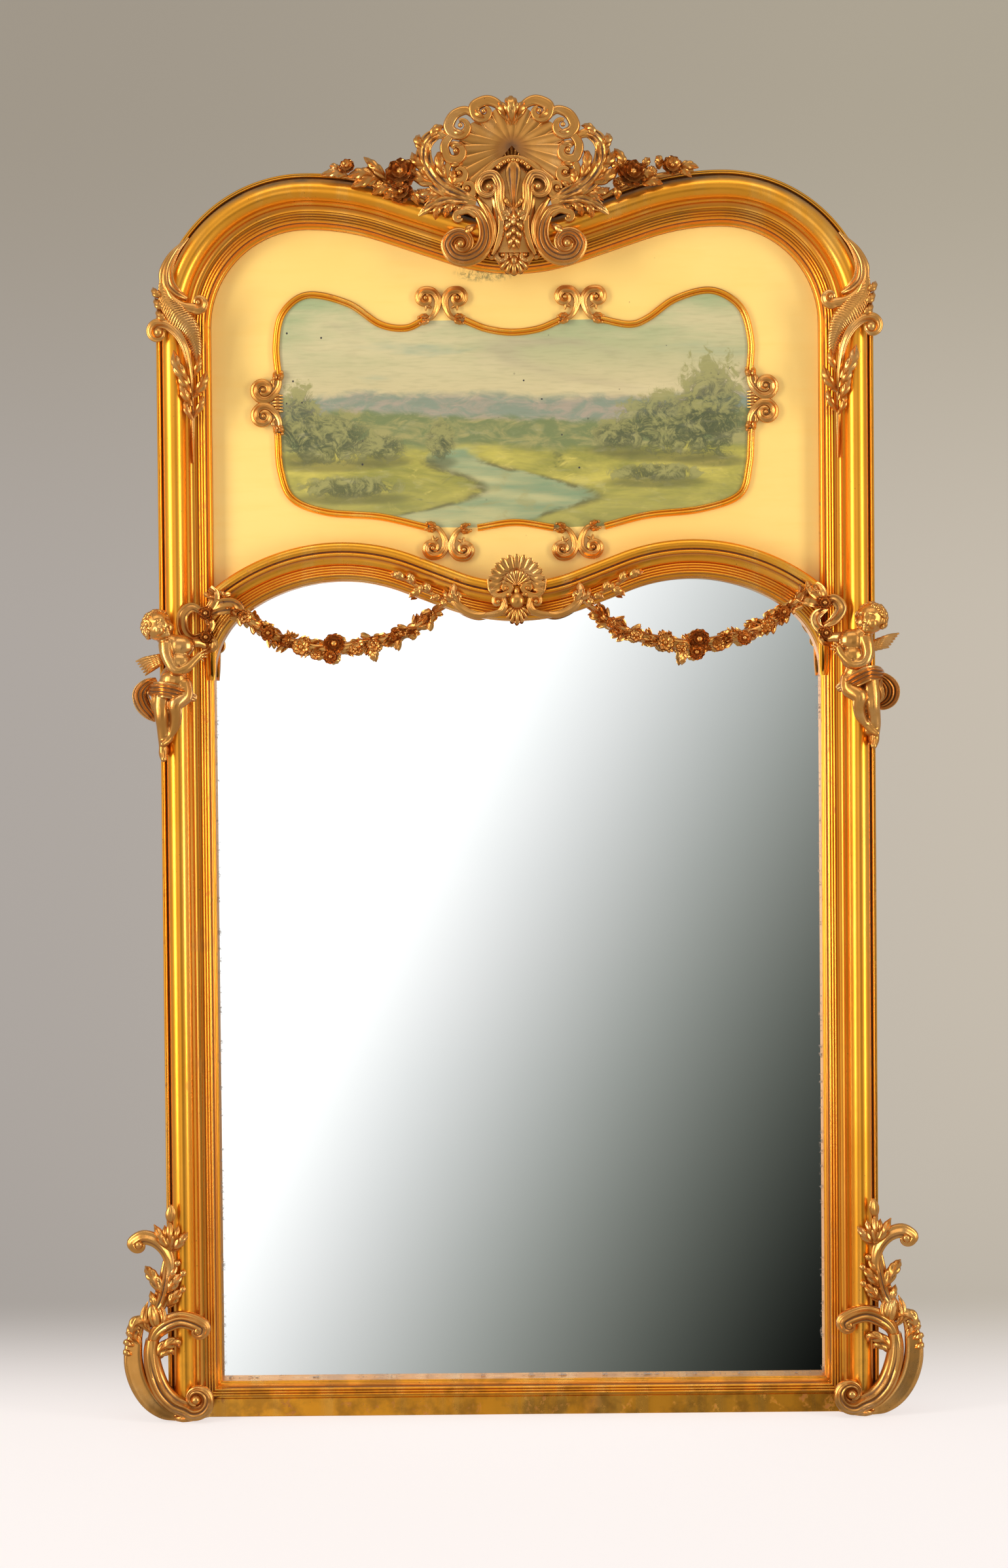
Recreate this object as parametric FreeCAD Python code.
"""Tall gilt trumeau mirror: a carcass that stands on its base, mouldings, a painted upper panel and applied carving.

Millimetres. +X is the viewer's right, +Z is up and the front faces -Y. The front of the upper panel lies at y = 0,
and the origin is the middle of the underside of the base.
"""
import FreeCAD, Part
import math
import os

V = FreeCAD.Vector

# Outline of the frame, seen from the front
HALF_WIDTH = 570.0          # centre line to the outer edge of a stile
SHOULDER_Z = 1747.0         # where the stile turns into the shoulder
SHOULDER_R = 240.0
HUMP_R = 450.0
HUMP_TURN = 18.5            # degrees that the hump falls towards the middle
DIP_R = 231.0               # hollow under the crest
MOULDING_WIDTH = 84.0

# Sight edge of the mirror
SIGHT_Z = 55.0
ARCH_Z = 1190.0             # where the sight edge leaves the vertical
ARCH_R1 = 126.0
ARCH_TURN1 = 55.0
ARCH_R2 = 266.0
ARCH_TURN2 = 21.0
ARCH_DIP_R = 317.0
ARCH_WIDTH = 61.0

# Steps across the stile moulding, from its outer edge, and their fronts
EDGE_WIDTH = 2.8
BEAD_WIDTH = 4.6
BEAD_PROUD = 3.0
TORUS_START = 9.4
TORUS_WIDTH = 36.5
FILLET_WIDTH = 3.7
HOLLOW_WIDTH = 9.4
GROOVE_WIDTH = 4.0
REED_WIDTH = 4.35
REEDS = 3
EDGE_FRONT = 38.0
TORUS_FRONT = 57.0
HOLLOW_FRONT = 30.0
REED_FRONT = 30.0
LIP_FRONT = 10.0
ARCH_FRONT = 38.0
FASCIA_FRONT = 24.0

# Depths behind the front of the panel
PANEL_THICK = 12.0
CARCASS_BACK = 45.0
GLASS_THICK = 6.0
BOARD_THICK = 10.0
CANVAS_THICK = 1.5

# Carcass and back
CARCASS_INSET = 2.0
STILE_TIMBER = 68.0
RAIL_TIMBER = 43.0
MIDDLE_RAIL_Z = 1366.0
MIDDLE_RAIL_HIGH = 64.0
TOP_TIMBER = 110.0
BATTEN_WIDTH = 60.0
BATTEN_HEIGHTS = (400.0, 980.0)
BRACE_WIDTH = 70.0
PANEL_BATTEN_WIDTH = 40.0
BACKBOARDS = 3
FIT = 0.3                   # clearance between neighbouring pieces
OVERSHOOT = 5.0             # how far a cutting block passes a face

# Wall plates, let in flush with the back
PLATE_Z = 1640.0
PLATE_WIDE = 44.0
PLATE_HIGH = 120.0
PLATE_THICK = 3.0
PLATE_HOLE_R = 6.0
POCKET_R = 14.0
POCKET_DEEP = 22.0
SCREW_R = 2.0
SCREW_HEAD_R = 4.0
SCREW_LENGTH = 22.0
SCREW_OFFSET = 45.0

# Carving
TORUS_FLATS = 4                # flats of the big round
CARVE_PROUD = 4.0              # how far the middle of the carving lies before the big round of the moulding
BEAD_BAR = 5.0                 # half width of the picture frame's bead
BEAD_RISE = 7.0
COVER_STEP = 9.0              # degrees between the straight stretches of a cover

ROUND = [(math.cos(math.radians(a)), math.sin(math.radians(a))) for a in range(18, 378, 72)]
LEAF = [(-1.0, 0.0), (0.1, 0.9), (1.0, -0.1), (0.0, -0.8)]
BAND = [(-1.0, -0.3), (-0.5, 1.0), (0.9, 0.8), (0.3, -1.0)]
HALF_BEAD = [(-1.0, 0.0), (-0.7, 0.7), (0.0, 1.0), (0.7, 0.7), (1.0, 0.0)]


# ---------------------------------------------------------------- basic solids

def block(x0, x1, y0, y1, z0, z1):
    return Part.makeBox(x1 - x0, y1 - y0, z1 - z0, V(x0, y0, z0))


def plate(points, y0, y1):
    """A flat piece with straight sides, drawn as (x, z) points and y0 to y1 thick."""
    ring = [V(x, y0, z) for x, z in points]
    return Part.Face(Part.makePolygon(ring + ring[:1])).extrude(V(0, y1 - y0, 0))


def round_bar(x, z, y0, y1, r):
    return Part.makeCylinder(r, y1 - y0, V(x, y0, z), V(0, 1, 0))


def mirrored(shape):
    return shape.mirror(V(0, 0, 0), V(1, 0, 0))


def joined(parts):
    whole = parts[0]
    for piece in parts[1:]:
        whole = whole.fuse(piece)
    return whole.removeSplitter()


# ---------------------------------------------------------------- outlines of arcs and lines

class Arc:
    """An arc about (x, z). side is 1 where the offset goes towards its centre, and -1 where it goes away."""

    def __init__(self, x, z, r, a0, a1, side):
        self.x, self.z, self.r, self.a0, self.a1, self.side = x, z, r, a0, a1, side

    def at(self, angle, offset):
        r = self.r - self.side * offset
        return V(self.x + r * math.cos(math.radians(angle)), 0, self.z + r * math.sin(math.radians(angle)))

    def edge(self, offset):
        middle = (self.a0 + self.a1) / 2
        return Part.Arc(self.at(self.a0, offset), self.at(middle, offset), self.at(self.a1, offset)).toShape()

    def start(self, offset):
        return self.at(self.a0, offset)

    def end(self, offset):
        return self.at(self.a1, offset)

    def sweep(self, face):
        return face.revolve(V(self.x, 0, self.z), V(0, 1, 0), self.a0 - self.a1)


class Line:
    """A straight run from p to q; normal points the way that the offset goes."""

    def __init__(self, p, q, normal):
        self.p, self.q, self.normal = p, q, normal

    def start(self, offset):
        return self.p + self.normal * offset

    def end(self, offset):
        return self.q + self.normal * offset

    def edge(self, offset):
        return Part.LineSegment(self.start(offset), self.end(offset)).toShape()

    def sweep(self, face):
        return face.extrude(self.q - self.p)


def falling_line(p, x_end, turn, normal_up):
    """The straight fall from p to x_end at turn degrees below level."""
    run = x_end - p.x
    q = V(x_end, 0, p.z - run * math.tan(math.radians(turn)))
    sign = 1 if normal_up else -1
    return Line(p, q, V(math.sin(math.radians(turn)), 0, math.cos(math.radians(turn))) * sign)


def top_outline():
    """Left half of the top, from the stile to the middle. Offsets go inwards."""
    x = -(HALF_WIDTH - SHOULDER_R)
    shoulder = Arc(x, SHOULDER_Z, SHOULDER_R, 180, 90, 1)
    hump = Arc(x, SHOULDER_Z + SHOULDER_R - HUMP_R, HUMP_R, 90, 90 - HUMP_TURN, 1)
    fall = falling_line(hump.end(0), -DIP_R * math.sin(math.radians(HUMP_TURN)), HUMP_TURN, False)
    dip = Arc(0, fall.q.z + DIP_R * math.cos(math.radians(HUMP_TURN)), DIP_R, 270 - HUMP_TURN, 270, -1)
    return [shoulder, hump, fall, dip]


def arch_outline():
    """Left half of the mirror's arched sight edge. Offsets go outwards, onto the moulding."""
    x = -(HALF_WIDTH - MOULDING_WIDTH) + ARCH_R1
    first = Arc(x, ARCH_Z, ARCH_R1, 180, 180 - ARCH_TURN1, -1)
    back = math.radians(180 - ARCH_TURN1)
    step = ARCH_R1 - ARCH_R2
    second = Arc(x + step * math.cos(back), ARCH_Z + step * math.sin(back), ARCH_R2,
                 180 - ARCH_TURN1, 90 - ARCH_TURN2, -1)
    fall = falling_line(second.end(0), -ARCH_DIP_R * math.sin(math.radians(ARCH_TURN2)), ARCH_TURN2, True)
    dip = Arc(0, fall.q.z + ARCH_DIP_R * math.cos(math.radians(ARCH_TURN2)), ARCH_DIP_R, 270 - ARCH_TURN2, 270, 1)
    return [first, second, fall, dip]


TOP = top_outline()
ARCH = arch_outline()


def region(outline, offset, floor):
    """Face under an outline and its mirror image, down to the height floor."""
    left = [run.edge(offset) for run in outline]
    right = [mirrored(edge) for edge in reversed(left)]
    a = outline[0].start(offset)
    b = V(-a.x, 0, a.z)
    c, d = V(-a.x, 0, floor), V(a.x, 0, floor)
    sides = [Part.LineSegment(b, c).toShape(), Part.LineSegment(c, d).toShape(), Part.LineSegment(d, a).toShape()]
    return Part.Face(Part.Wire(Part.__sortEdges__(left + right + sides)))


def region_solid(outline, offset, floor, y0, y1):
    face = region(outline, offset, floor)
    face.translate(V(0, y0, 0))
    return face.extrude(V(0, y1 - y0, 0))


# ---------------------------------------------------------------- moulding profiles

def profile_face(profile, origin, normal):
    """A closed section. A step is (u, front) for a corner, or (u, front, u, front) for an arc through the first."""
    def place(u, front):
        return origin + normal * u + V(0, -front, 0)
    edges = []
    here = place(*profile[0])
    first = here
    for step in profile[1:]:
        there = place(*step[-2:])
        if len(step) == 2:
            edges.append(Part.LineSegment(here, there).toShape())
        else:
            edges.append(Part.Arc(here, place(*step[:2]), there).toShape())
        here = there
    edges.append(Part.LineSegment(here, first).toShape())
    return Part.Face(Part.Wire(edges))


def reeds_and_lip(u):
    """The band of reeds and the cove beside the mirror, from u to the sight edge."""
    band_end = u + REED_WIDTH * REEDS
    steps = [(u, REED_FRONT), (band_end, REED_FRONT)]
    steps += [(band_end + (MOULDING_WIDTH - band_end) * 0.3, LIP_FRONT + 4), (MOULDING_WIDTH, LIP_FRONT)]
    steps.append((MOULDING_WIDTH, -PANEL_THICK))
    return steps


def reeds_start():
    torus_end = TORUS_START + TORUS_WIDTH
    return torus_end + FILLET_WIDTH + HOLLOW_WIDTH + GROOVE_WIDTH


def torus_steps():
    """The big round, in flats."""
    rise = TORUS_FRONT - EDGE_FRONT + 1
    steps = []
    for i in range(1, TORUS_FLATS + 1):
        a = math.pi * i / TORUS_FLATS
        steps.append((TORUS_START + TORUS_WIDTH / 2 * (1 - math.cos(a)), EDGE_FRONT - 1 + rise * math.sin(a)))
    return steps


def stile_profile():
    torus_end = TORUS_START + TORUS_WIDTH
    hollow = torus_end + FILLET_WIDTH
    groove = hollow + HOLLOW_WIDTH
    steps = [(0, -PANEL_THICK), (0, EDGE_FRONT), (EDGE_WIDTH + BEAD_WIDTH / 2, EDGE_FRONT + BEAD_PROUD),
             (TORUS_START, EDGE_FRONT - 2),
             *torus_steps(),
             (hollow, EDGE_FRONT), (groove, HOLLOW_FRONT - 2)]
    return steps + reeds_and_lip(reeds_start())


def stile_cover():
    """A coarse section just proud of the stile moulding, which the carving is hollowed to fit over."""
    bead = EDGE_FRONT + BEAD_PROUD + FIT
    mid = TORUS_START + TORUS_WIDTH / 2
    grow = 1 + 3 * FIT / TORUS_WIDTH
    steps = [(-FIT, -PANEL_THICK), (-FIT, bead), (TORUS_START, bead)]
    for u, front in torus_steps()[:-1]:
        steps.append((mid + (u - mid) * grow, EDGE_FRONT + (front - EDGE_FRONT) * grow))
    return steps + [(mid + TORUS_WIDTH / 2 + FILLET_WIDTH + FIT, EDGE_FRONT + FIT), (reeds_start(), REED_FRONT + FIT),
                    (MOULDING_WIDTH + FIT, REED_FRONT + FIT), (MOULDING_WIDTH + FIT, -PANEL_THICK)]


def arch_profile():
    """From the sight edge outwards."""
    cove = 7.4
    steps = [(0, -PANEL_THICK), (0, LIP_FRONT), (cove * 0.7, LIP_FRONT + 4)]
    u = cove + 4 * REED_WIDTH
    steps += [(cove, REED_FRONT), (u, REED_FRONT), (42, ARCH_FRONT), (46, ARCH_FRONT - 7),
              (ARCH_WIDTH, ARCH_FRONT - 4), (ARCH_WIDTH, -PANEL_THICK)]
    return steps


def arch_cover():
    return [(-FIT, -PANEL_THICK), (-FIT, REED_FRONT + FIT), (24, REED_FRONT + FIT), (38, ARCH_FRONT + FIT),
            (ARCH_WIDTH + FIT, ARCH_FRONT + FIT), (ARCH_WIDTH + FIT, -PANEL_THICK)]


def swept(outline, profile):
    parts = []
    for run in outline:
        a = run.start(0)
        normal = (run.start(1) - a).normalize()
        parts.append(run.sweep(profile_face(profile, a, normal)))
    return joined(parts)


def sight_x():
    return HALF_WIDTH - MOULDING_WIDTH


def mitre_x():
    return HALF_WIDTH - reeds_start()


def mitre_z():
    return SIGHT_Z - (MOULDING_WIDTH - reeds_start())


def stile_moulding():
    foot = V(-HALF_WIDTH, 0, 0)
    bar = profile_face(stile_profile(), foot, V(1, 0, 0)).extrude(V(0, 0, SHOULDER_Z))
    mitre = [(-sight_x() + OVERSHOOT, SIGHT_Z + OVERSHOOT), (-mitre_x(), mitre_z()), (-mitre_x(), -OVERSHOOT),
             (-sight_x() + 2 * OVERSHOOT, -OVERSHOOT), (-sight_x() + 2 * OVERSHOOT, SIGHT_Z + OVERSHOOT)]
    return bar.cut(plate(mitre, -TORUS_FRONT, PANEL_THICK + OVERSHOOT))


def arch_moulding():
    """Dies into the straight stile where its outer part meets it."""
    bend = swept(ARCH, arch_profile())
    top = ARCH_Z + ARCH_R1 + ARCH_R2
    return bend.common(block(-sight_x(), 0, -TORUS_FRONT, PANEL_THICK, ARCH_Z, top))


def base_moulding():
    drop = MOULDING_WIDTH - reeds_start()
    run = [(0, -PANEL_THICK), (0, FASCIA_FRONT), (SIGHT_Z - drop - 4, FASCIA_FRONT),
           (SIGHT_Z - drop - 4, FASCIA_FRONT - 3), (SIGHT_Z - drop, FASCIA_FRONT - 3)]
    for step in reeds_and_lip(reeds_start()):
        shift = SIGHT_Z - MOULDING_WIDTH
        run.append(tuple(v + shift if i % 2 == 0 else v for i, v in enumerate(step)))
    bar = profile_face(run, V(-mitre_x(), 0, 0), V(0, 0, 1)).extrude(V(2 * mitre_x(), 0, 0))
    corner = [(sight_x() - OVERSHOOT, SIGHT_Z + OVERSHOOT), (mitre_x() + OVERSHOOT, mitre_z() - OVERSHOOT),
              (mitre_x() + 2 * OVERSHOOT, SIGHT_Z + OVERSHOOT)]
    wedge = plate(corner, -TORUS_FRONT, PANEL_THICK + OVERSHOOT)
    return bar.cut(wedge).cut(mirrored(wedge))


# ---------------------------------------------------------------- carcass, panel, glass and back

def countersunk_screw(x, z):
    """Driven in from the back, its head flush with the plate. Its shank has flat sides."""
    rings = []
    for y, r in ((CARCASS_BACK - SCREW_LENGTH, SCREW_R * 0.3), (CARCASS_BACK - SCREW_LENGTH + 4, SCREW_R),
                 (CARCASS_BACK - SCREW_HEAD_R + SCREW_R, SCREW_R), (CARCASS_BACK, SCREW_HEAD_R)):
        rings.append([V(x + r * a, y, z + r * b) for a, b in ROUND])
    return lofted(rings)


def carcass():
    outer = HALF_WIDTH - CARCASS_INSET
    inner = outer - STILE_TIMBER
    nodes = {}
    pocket_y = CARCASS_BACK - PLATE_THICK
    stile = block(-outer, -inner, PANEL_THICK, CARCASS_BACK, 0, SHOULDER_Z)
    px = -(outer + inner) / 2
    recess = block(px - PLATE_WIDE / 2, px + PLATE_WIDE / 2, pocket_y, CARCASS_BACK + OVERSHOOT,
                   PLATE_Z - PLATE_HIGH / 2, PLATE_Z + PLATE_HIGH / 2)
    stile = stile.cut(recess).cut(round_bar(px, PLATE_Z, pocket_y - POCKET_DEEP, pocket_y + 1, POCKET_R))
    metal = block(px - PLATE_WIDE / 2, px + PLATE_WIDE / 2, pocket_y, CARCASS_BACK,
                  PLATE_Z - PLATE_HIGH / 2, PLATE_Z + PLATE_HIGH / 2)
    metal = metal.cut(round_bar(px, PLATE_Z, pocket_y - 1, CARCASS_BACK + 1, PLATE_HOLE_R))
    screws = []
    for z in (PLATE_Z - SCREW_OFFSET, PLATE_Z + SCREW_OFFSET):
        screw = countersunk_screw(px, z)
        stile = stile.cut(screw)
        metal = metal.cut(screw)
        screws.append(screw)
    nodes["carcass_stile_left"] = stile
    nodes["carcass_stile_right"] = mirrored(stile)
    nodes["hanging_plate_left"] = metal
    nodes["hanging_plate_right"] = mirrored(metal)
    nodes["plate_screws"] = Part.makeCompound(screws + [mirrored(s) for s in screws])
    nodes["carcass_bottom_rail"] = block(-inner, inner, PANEL_THICK, CARCASS_BACK, 0, RAIL_TIMBER)
    rail_top = MIDDLE_RAIL_Z + MIDDLE_RAIL_HIGH
    nodes["carcass_middle_rail"] = block(-inner, inner, PANEL_THICK, CARCASS_BACK, MIDDLE_RAIL_Z, rail_top)
    board = region_solid(TOP, CARCASS_INSET, SHOULDER_Z - OVERSHOOT, PANEL_THICK, CARCASS_BACK)
    board = board.cut(region_solid(TOP, TOP_TIMBER, SHOULDER_Z - 2 * OVERSHOOT, 0, CARCASS_BACK + OVERSHOOT))
    above = block(-HALF_WIDTH, HALF_WIDTH, 0, CARCASS_BACK, SHOULDER_Z, SHOULDER_Z + SHOULDER_R)
    nodes["carcass_top"] = board.common(above)
    middle_low = TOP[-1].end(TOP_TIMBER).z
    nodes["panel_brace"] = block(-BRACE_WIDTH / 2, BRACE_WIDTH / 2, PANEL_THICK, CARCASS_BACK, rail_top, middle_low)
    batten = block(-inner, -inner + PANEL_BATTEN_WIDTH, PANEL_THICK, CARCASS_BACK, rail_top, SHOULDER_Z)
    nodes["panel_batten_left"] = batten
    nodes["panel_batten_right"] = mirrored(batten)
    glass_back = PANEL_THICK + GLASS_THICK
    glass_x = inner - 1.5
    nodes["mirror_glass"] = block(-glass_x, glass_x, PANEL_THICK, glass_back, RAIL_TIMBER, MIDDLE_RAIL_Z - 1)
    wide = 2 * glass_x / BACKBOARDS
    board_front = glass_back + FIT
    board_back = board_front + BOARD_THICK
    for i in range(BACKBOARDS):
        x0 = -glass_x + i * wide
        nodes[f"backboard_{i + 1}"] = block(x0, x0 + wide - 1, board_front, board_back, RAIL_TIMBER, MIDDLE_RAIL_Z - 1)
    battens = [block(-inner, inner, board_back, CARCASS_BACK, z, z + BATTEN_WIDTH) for z in BATTEN_HEIGHTS]
    nodes["back_batten_lower"], nodes["back_batten_upper"] = battens
    return nodes


# Run of the picture frame on the upper panel, clockwise from the left: bead bars, with a pair of scrolls between
# them. A height above 0 counts up from the dip of the arch, and one below 0 down from the dip of the top.
PICTURE_BARS = {
    "top_left": [(-379, -243), (-382, -194), (-371, -144), (-331, -115), (-266, -129), (-216, -162), (-175, -169),
                 (-146, -157)],
    "top": [(-80, -157), (-45, -171), (-4, -177), (38, -172), (73, -158)],
    "top_right": [(138, -157), (184, -166), (214, -156), (258, -126), (316, -113), (362, -140), (378, -192),
                  (376, -243)],
    "bottom_right": [(378, 304), (374, 245), (358, 199), (296, 177), (211, 168), (142, 151)],
    "bottom": [(-62, 150), (-1, 158), (60, 149)],
    "bottom_left": [(-142, 151), (-218, 169), (-304, 177), (-358, 199), (-377, 245), (-381, 304)],
}
PICTURE_SCROLLS = {
    "top_left": [(-138, -126, -1, 1), (-95, -126, 1, 1)],
    "top_right": [(85, -126, -1, 1), (127, -126, 1, 1)],
    "right": [(398, -268, 1, 1), (398, 333, 1, -1)],
    "bottom_right": [(119, 122, 1, -1), (78, 119, -1, -1)],
    "bottom_left": [(-88, 119, 1, -1), (-130, 122, -1, -1)],
    "left": [(-400, 333, -1, -1), (-400, -268, -1, 1)],
}


def panel_z(z):
    return z + (ARCH[-1].end(0).z if z > 0 else TOP[-1].end(0).z)


def canvas_outline():
    """Closed outline under the middle of the bead bars and the scrolls."""
    return (PICTURE_BARS["top_left"] + PICTURE_BARS["top"] + PICTURE_BARS["top_right"] + [(380, 350)]
            + PICTURE_BARS["bottom_right"] + list(reversed(PICTURE_BARS["bottom"]))
            + PICTURE_BARS["bottom_left"] + [(-382, 350)])


def panel_and_canvas():
    inner = MOULDING_WIDTH + FIT
    panel = region_solid(TOP, inner, ARCH_Z, 0, PANEL_THICK)
    panel = panel.cut(region_solid(ARCH, ARCH_WIDTH + FIT, ARCH_Z - OVERSHOOT, -1, PANEL_THICK + 1))
    canvas = plate([(x, panel_z(z)) for x, z in canvas_outline()], 0, CANVAS_THICK)
    return {"upper_panel": panel.cut(canvas), "painting_canvas": canvas}


# ---------------------------------------------------------------- carving kit

# Where each carving is drawn from: out, back and up are counted from here
FOOT = V(HALF_WIDTH, -TORUS_FRONT, 0)
SHOULDER = V(HALF_WIDTH, -TORUS_FRONT, SHOULDER_Z)
SPRING = V(HALF_WIDTH, -TORUS_FRONT, ARCH_Z)
CREST = V(0, -TORUS_FRONT, TOP[-1].end(0).z)
DIP = V(0, -ARCH_FRONT, ARCH[-1].end(0).z)


def spot(origin, point, side=1, y=-CARVE_PROUD):
    """A place given as (x, z) or (x, z, y) from the origin, with x counted outwards on that side."""
    return V(side * (origin.x + point[0]), origin.y + (point[2] if len(point) > 2 else y), origin.z + point[1])


def top_edge(x):
    """Height of the frame's outer edge at x."""
    hump, fall = TOP[1], TOP[2]
    if abs(x) > abs(fall.p.x):
        return hump.z + math.sqrt(max(hump.r ** 2 - (abs(x) + hump.x) ** 2, 0))
    share = (abs(x) - abs(fall.q.x)) / (abs(fall.p.x) - abs(fall.q.x))
    return fall.q.z + (fall.p.z - fall.q.z) * share


def smooth(points, steps):
    """A curve through the points, with steps stretches between each two."""
    if steps == 1 or len(points) < 3:
        return points
    ends = [points[0] * 2 - points[1]] + points + [points[-1] * 2 - points[-2]]
    out = []
    for a, b, c, d in zip(ends, ends[1:], ends[2:], ends[3:]):
        for i in range(steps):
            t = i / steps
            out.append((b * 2 + (c - a) * t + (a * 2 - b * 5 + c * 4 - d) * t ** 2
                        + (b * 3 - a - c * 3 + d) * t ** 3) * 0.5)
    return out + [points[-1]]


def spread(values, count):
    """The values spaced out evenly to count values."""
    out = []
    for i in range(count):
        t = i * (len(values) - 1) / (count - 1)
        k = min(int(t), len(values) - 2)
        out.append(values[k] + (values[k + 1] - values[k]) * (t - k))
    return out


def skinned(front, back):
    """A closed solid with flat facets between two grids of places, front[row][column] and back alike."""
    facets = []

    def strip(row_a, row_b):
        for a, b, c, d in zip(row_a, row_a[1:], row_b[1:], row_b):
            for corners in ((a, b, c), (a, c, d)):
                if (corners[1] - corners[0]).cross(corners[2] - corners[0]).Length > 1e-6:
                    facets.append(Part.Face(Part.makePolygon(list(corners) + [corners[0]])))

    for grid in (front, back):
        for row_a, row_b in zip(grid, grid[1:]):
            strip(row_a, row_b)
    for row in (0, -1):
        strip(front[row], back[row])
    for column in (0, -1):
        strip([row[column] for row in front], [row[column] for row in back])
    return solid_of(facets)


def solid_of(facets):
    skin = Part.makeShell(facets)
    skin.sewShape()
    solid = Part.makeSolid(skin)
    if solid.Volume < 0:
        solid.reverse()
    return solid


def lofted(rings):
    """A solid with flat facets through closed rings of places."""
    facets = []
    for a, b in zip(rings, rings[1:]):
        for i in range(len(a)):
            j = (i + 1) % len(a)
            facets.append(Part.Face(Part.makePolygon([a[i], a[j], b[j], a[i]])))
            facets.append(Part.Face(Part.makePolygon([a[i], b[j], b[i], a[i]])))
    for ring in (rings[0], rings[-1]):
        facets.append(Part.Face(Part.makePolygon(ring + ring[:1])))
    return solid_of(facets)


def carve(points, widths, section, depth=0.5, steps=2):
    """A run of carving: section is drawn across the curve, widths wide and depth times as deep."""
    spine = smooth(points, steps)
    sizes = spread(widths, len(spine))
    rings = []
    for i, p in enumerate(spine):
        along = (spine[min(i + 1, len(spine) - 1)] - spine[max(i - 1, 0)]).normalize()
        across = along.cross(V(0, 1, 0)).normalize()
        front = across.cross(along).normalize()
        if front.y > 0:
            front = front * -1
        half = sizes[i] / 2
        rings.append([p + across * (a * half) + front * (b * half * depth) for a, b in section])
    return lofted(rings)


def volute(eye, start, turns, clockwise, shrink=0.3, per_turn=7, rise=2):
    """Places on a spiral that winds from start in to the eye, which stands rise forward."""
    dx, dz = start.x - eye.x, start.z - eye.z
    r0 = math.hypot(dx, dz)
    a0 = math.atan2(dz, dx)
    count = max(int(per_turn * turns), 3)
    out = []
    for i in range(1, count + 1):
        t = i / count
        r = r0 * (1 - (1 - shrink) * t)
        a = a0 + (-1 if clockwise else 1) * t * turns * 2 * math.pi
        out.append(V(eye.x + r * math.cos(a), start.y - rise * t, eye.z + r * math.sin(a)))
    return out


def lump(centre, across, high, deep, sides=ROUND):
    """A rounded lump with its back cut flat."""
    rings = []
    for level, size in ((-0.6, 0.75), (0.1, 1.0), (1.0, 0.45)):
        rings.append([V(centre.x + across / 2 * size * a, centre.y - deep / 2 * level,
                        centre.z + high / 2 * size * b) for a, b in sides])
    return lofted(rings)


def flower(centre, across, deep, petals=5):
    """A ring of petals round a hollow."""
    rings = []
    for level, size in ((0.0, 0.55), (0.6, 1.0), (1.0, 0.55)):
        ring = []
        for i in range(2 * petals):
            r = across / 2 * size * (1.0 if i % 2 == 0 else 0.74)
            a = math.pi * i / petals + 0.3
            ring.append(V(centre.x + r * math.cos(a), centre.y - deep * level, centre.z + r * math.sin(a)))
        rings.append(ring)
    return lofted(rings)


def fan(centre, a0, a1, ribs, r_in, reach, y_in, y_out, thick, ridge):
    """A scallop shell: ridges and grooves that spread from a hub to the rim. reach gives the rim at an angle."""
    front, back = [], []
    for t in (0.0, 0.55, 1.0):
        row_front, row_back = [], []
        for k in range(2 * ribs + 1):
            angle = a0 + (a1 - a0) * k / (2 * ribs)
            out = V(math.cos(math.radians(angle)), 0, math.sin(math.radians(angle)))
            edge = reach(angle) * (1.0 if k % 2 else 0.95)
            base = V(centre.x, y_in + (y_out - y_in) * t, centre.z) + out * (r_in + (edge - r_in) * t)
            rise = ridge * (0.4 + 0.6 * t) if k % 2 else 0
            row_front.append(base - V(0, rise, 0))
            row_back.append(base + V(0, thick, 0))
        front.append(row_front)
        back.append(row_back)
    return skinned(front, back)


def chorded(outline, profile):
    """A section carried along an outline in short straight stretches that just clear its arcs."""
    rings = []
    for run in outline:
        if isinstance(run, Line):
            continue
        count = max(2, round(abs(run.a1 - run.a0) / COVER_STEP))
        grow = 1 / math.cos(math.radians((run.a1 - run.a0) / count / 2))
        for i in range(count + 1):
            angle = run.a0 + (run.a1 - run.a0) * i / count
            if rings and i == 0 and run is not outline[-1]:
                continue
            ring = []
            for u, front in profile:
                p = run.at(angle, u)
                ring.append(V(run.x + (p.x - run.x) * grow, -front, run.z + (p.z - run.z) * grow))
            rings.append(ring)
    return lofted(rings)


def covers():
    """Blocks just proud of the mouldings."""
    stile = profile_face(stile_cover(), V(-HALF_WIDTH, 0, 0), V(1, 0, 0)).extrude(V(0, 0, SHOULDER_Z))
    return {"stile": stile, "top": chorded(TOP, stile_cover()), "arch": chorded(ARCH, arch_cover())}


COVER = covers()


def cleared(shape):
    """The shape without the crumbs that a cut leaves."""
    solids = sorted(shape.Solids, key=lambda s: s.Volume)
    keep = [s for s in solids if s.Volume > 0.04 * solids[-1].Volume]
    return keep[0] if len(keep) == 1 else Part.makeCompound(keep)


def fitted(shape, side, *names):
    """The carving hollowed to sit over the mouldings on that side, or on both sides where side is 0."""
    for name in names:
        if side <= 0:
            shape = shape.cut(COVER[name])
        if side >= 0:
            shape = shape.cut(mirrored(COVER[name]))
    return cleared(shape)


# ---------------------------------------------------------------- picture frame

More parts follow.
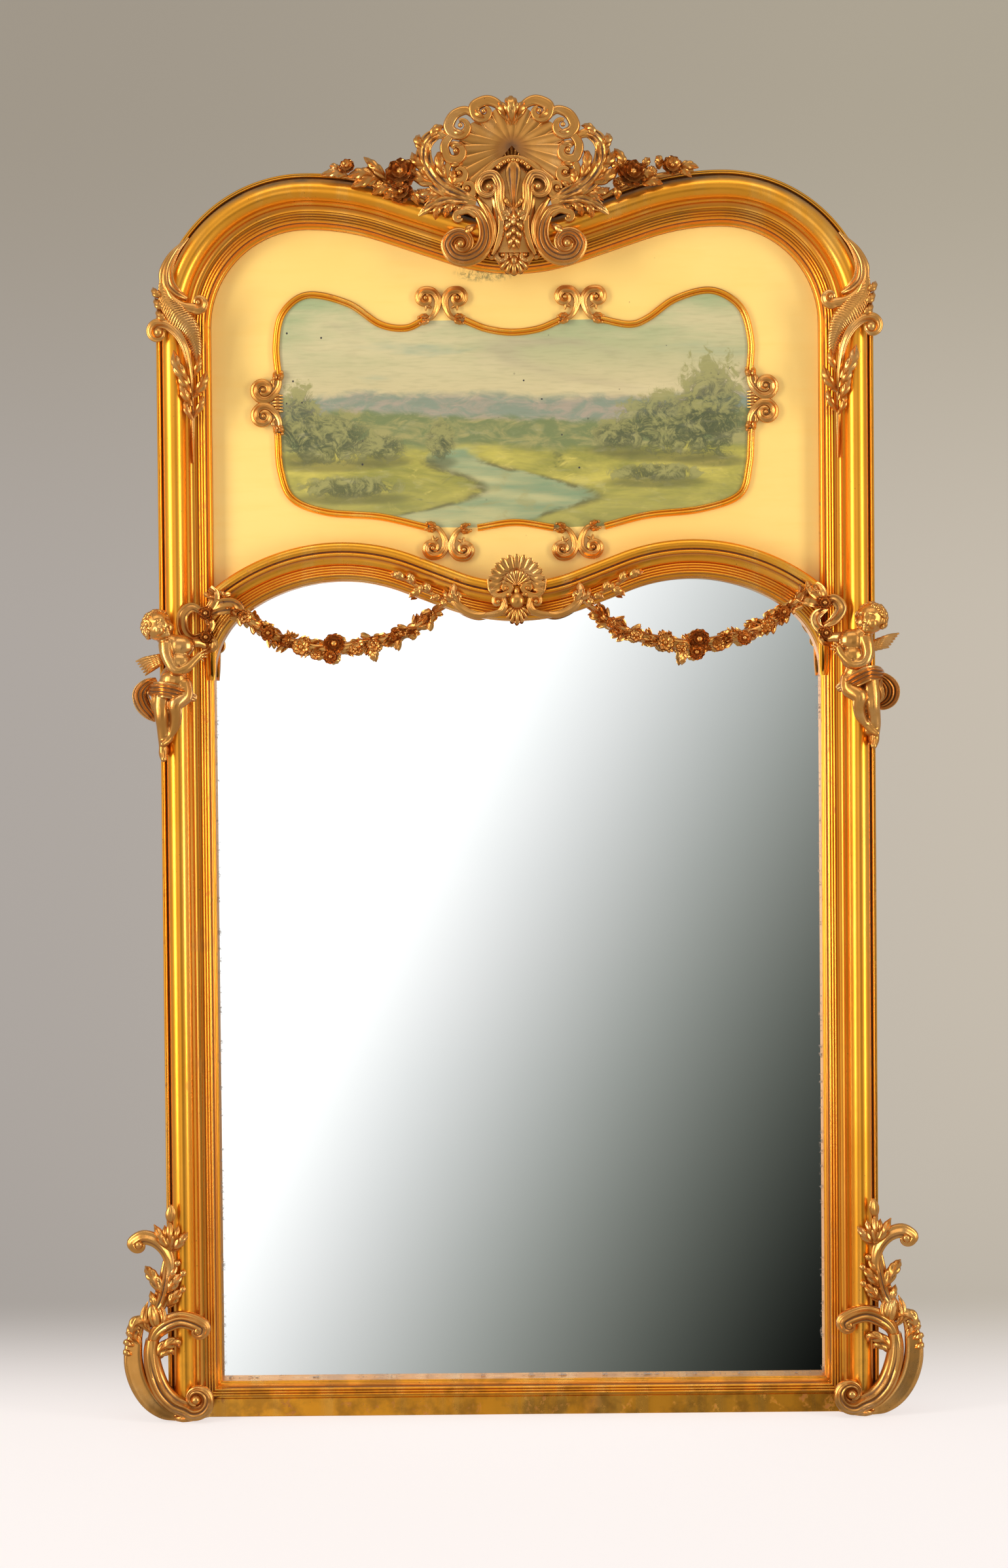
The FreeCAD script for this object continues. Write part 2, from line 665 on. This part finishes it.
def picture_frame():
    nodes = {}
    for name, points in PICTURE_BARS.items():
        run = [V(x, 0, panel_z(z)) for x, z in points]
        nodes[f"picture_bar_{name}"] = carve(run, [2 * BEAD_BAR] * 2, HALF_BEAD, BEAD_RISE / BEAD_BAR, 2)
    for name, pair in PICTURE_SCROLLS.items():
        parts = []
        for x, z, sx, sz in pair:
            parts.append(picture_scroll(x, panel_z(z), sx, sz))
        nodes[f"picture_scrolls_{name}"] = Part.makeCompound(parts)
    return nodes


def picture_scroll(x, z, sx, sz):
    """A small C-scroll: a tail that thickens into a ring about a ball."""
    r = 17.0
    if abs(x) > 300:
        tail = [(x - sx * 14, z + sz * 24), (x - sx * 8, z + sz * 14)]
        turn = sx * sz
    else:
        tail = [(x + sx * 16, z - sz * 28), (x + sx * 16, z - sz * 14)]
        turn = -sx * sz
    start = V(x + (sx * r * 0.8 if abs(x) < 300 else -sx * r * 0.3), -FIT, z + (0 if abs(x) < 300 else sz * r))
    run = [V(a, -FIT, b) for a, b in tail] + [start]
    run += volute(V(x, 0, z), start, 0.95, turn > 0, 0.62, 6, 0)
    return carve(run, [7, 10, 13, 14, 13, 10, 6], HALF_BEAD, 1.6, 1)


# ---------------------------------------------------------------- foot scrolls

def foot_scroll(side):
    eye = spot(FOOT, (-48, 37), side, -1)
    run = [spot(FOOT, p, side, 7) for p in
           ((-59, 147), (-51, 163), (-25, 168), (4, 152), (29, 125), (37, 92), (28, 60), (7, 30), (-18, 16),
            (-42, 21))]
    sizes = [10, 18, 24, 34, 50, 55, 52, 44, 33, 22, 13, 9, 5]
    body = run + volute(eye, run[-1], 0.8, side > 0, 0.35, 5)
    scroll = carve(body, sizes, BAND, 0.75, 1)
    flange = carve([spot(FOOT, p, side, 13) for p in ((26, 152), (42, 152), (56, 128), (52, 95), (39, 62))],
                   [8, 24, 26, 26, 18], BAND, 0.8, 1)
    tip = carve([spot(FOOT, p, side, 9) for p in ((16, 112), (5, 126), (-14, 130))], [26, 14, 4], LEAF, 0.6, 1)
    fluke = carve([spot(FOOT, p, side, 9) for p in ((-10, 12), (-28, 5), (-41, 14))], [14, 9, 6], LEAF, 0.8, 1)
    whole = joined([scroll, flange, tip, fluke])
    floor = block(-2 * HALF_WIDTH, 2 * HALF_WIDTH, -200, 200, -100, 0)
    return fitted(whole.cut(floor), side, "stile")


def foot_leaves(side):
    stem = carve([spot(FOOT, p, side, y) for p, y in
                  (((18, 176), 7), ((6, 196), 5), ((-1, 225), 3), ((-5, 255), 0), ((-7, 284), -3))],
                 [30, 34, 30, 22, 14], LEAF, 0.95, 1)
    curl = carve([spot(FOOT, p, side, y) for p, y in
                  (((2, 225), 1), ((7, 258), -1), ((22, 278), -1), ((38, 290), 1), ((47, 284), 5))],
                 [24, 20, 16, 18, 12], LEAF, 0.7, 1)
    parts = [stem, curl,
             carve([spot(FOOT, p, side, 1) for p in ((4, 210), (15, 235), (28, 248))], [22, 14, 3], LEAF, 0.7, 1),
             carve([spot(FOOT, p, side, -3) for p in ((-4, 195), (-17, 222), (-30, 238))], [20, 14, 4], LEAF, 0.7, 1),
             carve([spot(FOOT, p, side, -3) for p in ((4, 182), (-14, 198), (-27, 213))], [16, 12, 4], LEAF, 0.7, 1),
             carve([spot(FOOT, p, side, -5) for p in ((-6, 280), (8, 298), (16, 317))], [16, 12, 2], LEAF, 0.7, 1),
             carve([spot(FOOT, p, side, -5) for p in ((-6, 280), (-22, 294), (-35, 304))], [16, 12, 2], LEAF, 0.7, 1),
             carve([spot(FOOT, p, side, -9) for p in ((-6, 278), (-7, 300), (-9, 322))], [18, 16, 3], LEAF, 0.9, 1),
             carve([spot(FOOT, p, side, -7) for p in ((-8, 318), (-9, 328), (-9, 339), (-11, 350))], [8, 18, 17, 5],
                   ROUND, 0.9, 1),
             lump(spot(FOOT, (18, 182), side, -3), 22, 36, 20)]
    return fitted(joined(parts), side, "stile")


# ---------------------------------------------------------------- corner rocailles

def corner_rocaille(side):
    hook = carve([spot(SHOULDER, p, side, y) for p, y in
                  (((-50, 133), -3), ((-32, 105), -3), ((-23, 73), -3), ((-29, 48), -5),
                   ((-50, 29), -3), ((-68, 25), 7), ((-77, 31), 11), ((-74, 39), 11))],
                 [4, 8, 14, 16, 14, 12, 10, 6], BAND, 0.8, 1)
    leaf = carve([spot(SHOULDER, p, side, y) for p, y in (((-24, 65), -5), ((-36, 47), -7), ((-50, 41), -5))],
                 [16, 12, 3], LEAF, 0.8, 1)
    band = carve([spot(SHOULDER, p, side, y) for p, y in
                  (((-15, 75), 7), ((-22, 43), -5), ((-38, 15), -7), ((-54, -9), -1),
                   ((-64, -35), 9), ((-65, -57), 11))],
                 [8, 32, 44, 42, 26, 6], BAND, 0.45, 1)
    start = spot(SHOULDER, (-14, -2), side, 7)
    eye = spot(SHOULDER, (-7, -14), side, 11)
    low = [spot(SHOULDER, p, side, y) for p, y in
           (((-57, -143), 17), ((-58, -107), 5), ((-56, -67), -3), ((-48, -35), -7), ((-32, -11), -5))]
    low.append(start)
    hook_low = carve(low + volute(eye, start, 0.7, side < 0, 0.5, 5), [4, 9, 12, 18, 18, 16, 14, 12, 8], BAND, 0.7, 1)
    leaves = []
    for tip, root, width in (((-28, -43), (-56, -97), 20), ((-43, -79), (-57, -135), 18),
                             ((-79, -75), (-61, -121), 20), ((-73, -107), (-59, -143), 12)):
        middle = ((tip[0] * 0.6 + root[0] * 0.4), (tip[1] * 0.5 + root[1] * 0.5))
        places = [spot(SHOULDER, p, side, y) for p, y in ((root, 11), (middle, 1), (tip, 3))]
        leaves.append(carve(places, [6, width, 5], LEAF, 0.7, 1))
    return fitted(joined([hook, leaf, band, hook_low] + leaves), side, "stile", "top")


# ---------------------------------------------------------------- winged child figures

def limb(points, widths, side):
    return carve([spot(SPRING, p, side) for p in points], widths, ROUND, 1.0, 1)


PUTTO_LEFT = {
    "head": (-1, 80, -27), "head_size": (54, 54), "neck": [(-9, 62, -23), (-18, 48, -21)],
    "torso": [(-32, 62, -19), (-34, 48, -21), (-35, 25, -19), (-32, 2, -21), (-22, -24, -17), (-21, -38, -13)],
    "torso_widths": [26, 54, 46, 44, 54, 34],
    "near_arm": [(-12, 48, -31), (-20, 28, -39), (-33, 8, -41), (-52, 17, -37), (-70, 36, -27)],
    "wing": [(-12, 24, -9), (8, 26, -3), (26, 21, 1), (33, 14, 3)],
    "cloth": [(8, -25, -15), (-8, -22, -39), (-30, -24, -35)],
    "tail": [(2, -10, -3), (20, -20, 1), (18, -45, 3), (4, -68, 1)],
    "leg": [(-8, -25, -23), (-8, -60, -27), (-8, -86, -21), (-7, -110, -17), (-7, -128, -21)],
    "other_leg": [(-42, -18, -19), (-46, -38, -23), (-25, -50, -35), (-34, -68, -27), (-24, -86, -23), (-16, -102, -23)],
}
PUTTO_RIGHT = {
    "head": (-10, 82, -27), "head_size": (56, 56), "neck": [(-22, 64, -23), (-30, 52, -21)],
    "torso": [(-42, 64, -19), (-38, 48, -21), (-40, 25, -19), (-40, 2, -21), (-28, -16, -19), (-20, -30, -13)],
    "torso_widths": [30, 50, 44, 42, 52, 40],
    "near_arm": [(-21, 46, -31), (-19, 24, -37), (-30, 12, -41), (-50, 16, -37), (-62, 38, -29)],
    "wing": [(-16, 32, -9), (2, 44, -3), (20, 44, 1), (31, 49, 3)],
    "cloth": [(2, -10, -17), (-14, -6, -39), (-34, -14, -35)],
    "tail": [(-4, -10, -3), (10, -28, 1), (12, -44, 3), (-2, -54, -1)],
    "leg": [(-10, -20, -23), (-12, -50, -27), (-7, -78, -21), (-4, -100, -17), (-6, -116, -21)],
    "other_leg": [(-48, -22, -19), (-44, -34, -27), (-28, -42, -35), (-36, -62, -27), (-24, -82, -23), (-10, -97, -23)],
}


def putto(side, pose):
    x, z, y = pose["head"]
    wide, high = pose["head_size"]
    parts = [lump(spot(SPRING, (x, z, y + 2), side), wide, high, 50),
             limb(pose["neck"], [24, 24], side),
             limb(pose["torso"], pose["torso_widths"], side),
             limb(pose["near_arm"], [22, 20, 16, 16, 10], side),
             limb(pose["leg"], [32, 28, 18, 14, 13], side),
             limb(pose["other_leg"], [30, 32, 26, 20, 14, 10], side),
             carve([spot(SPRING, p, side) for p in pose["wing"]], [16, 24, 18, 4], LEAF, 0.5, 1),
             carve([spot(SPRING, p, side) for p in pose["cloth"]], [24, 26, 14], LEAF, 0.6, 1),
             carve([spot(SPRING, p, side) for p in pose["tail"]], [16, 24, 26, 8], LEAF, 0.6, 1)]
    return fitted(joined(parts), side, "stile")


# ---------------------------------------------------------------- ribbon bows and garlands

def bow(side, knot, loops, width):
    parts = [lump(spot(SPRING, knot, side, 7), 20, 20, 30)]
    for points in loops:
        sizes = [width * 0.7, width, width, width * 0.6]
        parts.append(carve([spot(SPRING, p, side) for p in points], sizes, LEAF, 0.7, 1))
    return fitted(joined(parts), side, "stile", "arch")


BOW_LEFT = [[(-70, 102, 7), (-49, 96, -1), (-46, 72, -3), (-70, 68, 11)],
            [(-72, 100, 11), (-86, 104, 15), (-86, 120, 15), (-82, 138, 15)],
            [(-66, 74, 9), (-82, 72, 15), (-82, 54, 15), (-70, 42, 11)]]
BOW_RIGHT = [[(-82, 100, 11), (-66, 108, 7), (-56, 94, 3), (-74, 84, 11)],
             [(-80, 96, 11), (-83, 116, 15), (-90, 132, 15), (-102, 144, 15)],
             [(-78, 100, 11), (-90, 78, 15), (-82, 60, 15), (-69, 44, 11)]]

# Out as a share of the half width, then up and back from where the arch springs
GARLAND_LEFT = [(0.839, 128, 13), (0.804, 114, 14), (0.758, 94, 19), (0.698, 68, 27), (0.635, 54, 35),
                (0.558, 44, 39), (0.484, 44, 39), (0.407, 54, 35), (0.337, 63, 29), (0.274, 80, 23),
                (0.235, 100, 17), (0.196, 113, 16)]
GARLAND_RIGHT = [(0.811, 128, 13), (0.782, 112, 14), (0.744, 94, 19), (0.695, 74, 27), (0.635, 60, 35),
                 (0.558, 50, 39), (0.491, 44, 39), (0.414, 50, 35), (0.326, 62, 29), (0.263, 80, 23),
                 (0.225, 100, 17), (0.186, 115, 16)]
GARLAND_WIDTHS = [20, 16, 22, 26, 22, 26, 30, 26, 20, 20, 9, 6]
GARLAND_FLOWERS = [(-0.605, 46, 30), (-0.512, 50, 34), (-0.519, 30, 26), (-0.402, 48, 24),
                   (-0.695, 66, 24), (0.509, 52, 34), (0.502, 34, 28), (0.414, 48, 28), (0.635, 50, 26),
                   (0.695, 72, 26)]


def hung(place, side):
    """A place on a garland, given as a share of the half width, a height and a depth."""
    share, z, y = place
    return V(side * share * HALF_WIDTH, SPRING.y + y, SPRING.z + z)


def garland(side, run):
    parts = [carve([hung(p, side) for p in run], GARLAND_WIDTHS, ROUND, 0.9, 1)]
    for share, z, across in GARLAND_FLOWERS:
        if (share > 0) == (side > 0):
            near = min(run, key=lambda p: abs(p[0] - abs(share)))
            parts.append(flower(hung((abs(share), z, near[2] - 4), side), across, 13))
    return fitted(joined(parts), side, "stile", "arch")


# ---------------------------------------------------------------- shell over the mirror

def lower_shell():
    shell = fan(spot(DIP, (0, 51, 0)), -8, 188, 6, 4, lambda a: 42 + 3 * abs(math.cos(math.radians(a))), DIP.y - 8,
                DIP.y - 12, 14, 5)
    tip = fan(spot(DIP, (0, 27, 0)), 205, 335, 3, 8, lambda a: 33 - 0.14 * abs(a - 270), DIP.y - 8, DIP.y - 6, 12, 4)
    parts = [shell, tip, lump(spot(DIP, (0, 33, -8)), 26, 34, 26)]
    for side in (-1, 1):
        run = [spot(DIP, p, side) for p in ((44, 59, -6), (40, 45, -8), (24, 41, -10), (12, 51, -10))]
        parts.append(carve(run, [6, 9, 10, 8], ROUND, 0.9, 1))
        hook = [spot(DIP, p, side) for p in ((30, 31, -8), (24, 35, -9), (19, 25, -9), (26, 15, -8), (44, 11, -6))]
        parts.append(carve(hook, [5, 8, 10, 12, 10], ROUND, 0.9, 1))
    return fitted(joined(parts), 0, "arch")


def lower_arm(side):
    y = -6
    main = carve([spot(DIP, p, side, y) for p in
                  ((46, 11), (66, 13), (84, 21), (98, 31), (124, 39), (150, 51), (178, 69), (200, 79))],
                 [10, 11, 13, 14, 8, 9, 12, 3], LEAF, 0.9, 1)
    parts = [main,
             carve([spot(DIP, p, side, y) for p in ((94, 29), (100, 43), (99, 57))], [10, 13, 4], LEAF, 0.9, 1),
             carve([spot(DIP, p, side, y) for p in ((150, 49), (170, 53), (172, 39))], [9, 12, 4], LEAF, 0.9, 1)]
    return fitted(joined(parts), side, "arch")


# ---------------------------------------------------------------- crest

def crest_rim(angle):
    """Reach of the crest shell's edge: highest in the middle, with lobes to each side."""
    lean = abs(angle - 90)
    return 98 + 10 * max(0, 1 - lean / 14) + 5 * max(0, 1 - abs(lean - 35) / 14)


def crest_shell():
    ribs = fan(spot(CREST, (-2, 78, 0)), 205, -25, 13, 26, crest_rim, CREST.y + 23, CREST.y - 9, 12, 6)
    hub = lump(spot(CREST, (-2, 78, 27)), 58, 58, 28)
    return fitted(joined([ribs, hub]).cut(crest_cartouche_block()), 0, "top")


def crest_cartouche_block():
    outline = [(58, 44), (34, 70), (22, 82), (-22, 82), (-34, 70), (-58, 44), (-52, 16), (-38, -14), (-44, -56),
               (-32, -66), (32, -66), (44, -56), (38, -14), (52, 16)]
    return plate([(x, CREST.z + z) for x, z in outline], CREST.y - 10, CREST.y + 12)


def crest_cartouche():
    parts = [crest_cartouche_block(),
             carve([spot(CREST, p) for p in ((0, 76, -18), (0, 56, -18), (0, 26, -18), (0, -8, -18))],
                   [20, 26, 20, 12], ROUND, 0.8, 1),
             carve([spot(CREST, p) for p in ((0, -12, -12), (0, -30, -12), (0, -50, -12))], [16, 12, 4], LEAF, 1.0, 1)]
    for side in (-1, 1):
        run = [spot(CREST, p, side) for p in ((12, -2, -12), (26, 16, -13), (24, 30, -14), (22, 44, -14))]
        run += volute(spot(CREST, (38, 46), side), run[-1], 0.85, side > 0, 0.4, 6)
        parts.append(carve(run, [12, 16, 14, 12, 11, 10, 9, 7, 5], ROUND, 0.9, 1))
    return fitted(joined(parts), 0, "top")


def crest_acanthus(side):
    y = -CARVE_PROUD
    sweep_up = carve([spot(CREST, p, side, q) for p, q in
                      (((62, 24), y), ((96, 38), y), ((126, 62), y + 4), ((141, 90), y + 6),
                       ((136, 118), y + 6), ((116, 127), y + 2), ((96, 120), y))],
                     [22, 26, 30, 26, 20, 18, 10], LEAF, 0.7, 1)
    parts = [sweep_up,
             carve([spot(CREST, p, side, y) for p in ((112, 54), (138, 60), (160, 70))], [22, 16, 3], LEAF, 0.7, 1),
             carve([spot(CREST, p, side, y) for p in ((108, 54), (116, 74), (118, 92))], [20, 14, 3], LEAF, 0.7, 1),
             carve([spot(CREST, p, side, y) for p in ((62, 20), (96, 22), (124, 18), (149, 4))], [22, 24, 20, 6],
                   LEAF, 0.7, 1),
             carve([spot(CREST, p, side, y) for p in ((110, 16), (116, 8), (112, 0))], [18, 10, 3], LEAF, 0.7, 1)]
    shape = joined(parts).cut(crest_cartouche_block())
    return fitted(shape, side, "top")


def crest_scroll(side):
    y = -CARVE_PROUD - 4
    run = [spot(CREST, p, side, y) for p in
           ((88, -2), (70, 6), (52, -6), (44, -28), (48, -52), (66, -64), (88, -64), (101, -48))]
    run += volute(spot(CREST, (82, -45), side), run[-1], 0.85, side < 0, 0.35, 6)
    shape = carve(run, [4, 12, 20, 24, 22, 18, 16, 15, 14, 13, 11, 9, 7], BAND, 0.9, 1)
    shape = shape.cut(crest_cartouche_block())
    return fitted(shape, side, "top")


def crest_pendant():
    """A little shell under the cartouche, on the panel side of the moulding."""
    parts = [fan(spot(CREST, (0, -66, 0)), 190, 350, 5, 7, lambda a: 30 - 0.06 * abs(a - 270), -REED_FRONT - 5,
                 -REED_FRONT - 9, 10, 4)]
    for side in (-1, 1):
        run = [spot(CREST, p, side) for p in ((-2, -74, 20), (3, -62, 17))]
        run += volute(spot(CREST, (17, -61), side), run[-1], 0.9, side > 0, 0.4, 6)
        parts.append(carve(run, [12, 12, 11, 9, 8, 7, 5], ROUND, 0.9, 1))
    return fitted(joined(parts).cut(crest_cartouche_block()), 0, "top")


def ledge(place, side, y):
    """A place over the outer edge of the top: x from the centre line, and the rise above the edge there."""
    x, rise = place
    return V(side * x, CREST.y + y, top_edge(x) + rise)


def flower_spray(side, run, leaves, flowers):
    parts = [carve([ledge(p, side, 8) for p in run], [12, 16, 16, 10], ROUND, 1.0, 1)]
    for root, tip, width in leaves:
        places = [ledge(root, side, 2), ledge(tip, side, 0)]
        places.insert(1, (places[0] + places[1]) * 0.5 - V(0, 3, 0))
        parts.append(carve(places, [6, width, 3], LEAF, 0.7, 1))
    for x, rise, across in flowers:
        parts.append(flower(ledge((x, rise), side, 2), across, 18))
    neighbour = crest_acanthus(1)
    shape = joined(parts).cut(neighbour if side > 0 else mirrored(neighbour))
    return fitted(shape, side, "top")


SPRAY_LEFT = ([(150, -15), (200, -6), (240, -6), (290, -5)],
              [((196, -3), (238, 29), 14), ((216, 0), (252, -18), 24), ((262, -4), (305, -7), 16),
               ((160, -5), (184, -33), 20), ((168, -5), (208, -24), 22)],
              [(176, 18, 46), (178, -5, 40), (262, 6, 30)])
SPRAY_RIGHT = ([(150, -11), (198, -1), (236, -3), (280, -2)],
               [((178, 15), (160, 63), 13), ((180, 29), (204, 29), 22), ((196, 7), (216, 2), 14),
                ((262, 2), (292, 1), 16), ((222, 12), (232, 26), 14)],
               [(186, 9, 46), (250, 6, 36)])


# ---------------------------------------------------------------- everything together

# Where two carvings meet, the first one runs on and the second one stops against it
TRIMMED = [("crest_acanthus_left", "crest_shell"), ("crest_acanthus_right", "crest_shell"),
           ("bow_left", "garland_left"), ("bow_right", "garland_right"),
           ("crest_cartouche", "crest_pendant"), ("crest_scroll_left", "crest_acanthus_left"),
           ("crest_scroll_right", "crest_acanthus_right"),
           ("picture_bar_bottom_left", "picture_scrolls_bottom_left"),
           ("picture_bar_bottom_right", "picture_scrolls_bottom_right"), ("putto_left", "bow_left"),
           ("putto_right", "bow_right"), ("lower_shell", "lower_arm_left"), ("lower_shell", "lower_arm_right")]


def build():
    nodes = carcass()
    nodes.update(panel_and_canvas())
    nodes["stile_moulding_left"] = stile_moulding()
    nodes["stile_moulding_right"] = mirrored(nodes["stile_moulding_left"])
    top, arch = swept(TOP, stile_profile()), arch_moulding()
    nodes["top_moulding"] = joined([top, mirrored(top)])
    nodes["arch_moulding"] = joined([arch, mirrored(arch)])
    nodes["base_moulding"] = base_moulding()
    nodes.update(picture_frame())
    nodes["crest_shell"] = crest_shell()
    nodes["crest_cartouche"] = crest_cartouche()
    nodes["crest_pendant"] = crest_pendant()
    nodes["lower_shell"] = lower_shell()
    for carving in (crest_acanthus, crest_scroll, corner_rocaille, lower_arm, foot_scroll, foot_leaves):
        shape = carving(1)
        nodes[f"{carving.__name__}_right"] = shape
        nodes[f"{carving.__name__}_left"] = mirrored(shape)
    sides = (("left", -1, PUTTO_LEFT, (-72, 100), BOW_LEFT, GARLAND_LEFT, SPRAY_LEFT),
             ("right", 1, PUTTO_RIGHT, (-80, 100), BOW_RIGHT, GARLAND_RIGHT, SPRAY_RIGHT))
    for name, side, pose, knot, loops, run, spray in sides:
        nodes[f"flower_spray_{name}"] = flower_spray(side, *spray)
        nodes[f"putto_{name}"] = putto(side, pose)
        nodes[f"bow_{name}"] = bow(side, knot, loops, 20)
        nodes[f"garland_{name}"] = garland(side, run)
    for kept, trimmed in TRIMMED:
        nodes[trimmed] = cleared(nodes[trimmed].cut(nodes[kept]))
    return nodes


os.makedirs("parts", exist_ok=True)
for node, shape in build().items():
    shape.exportStep(f"parts/{node}.step")
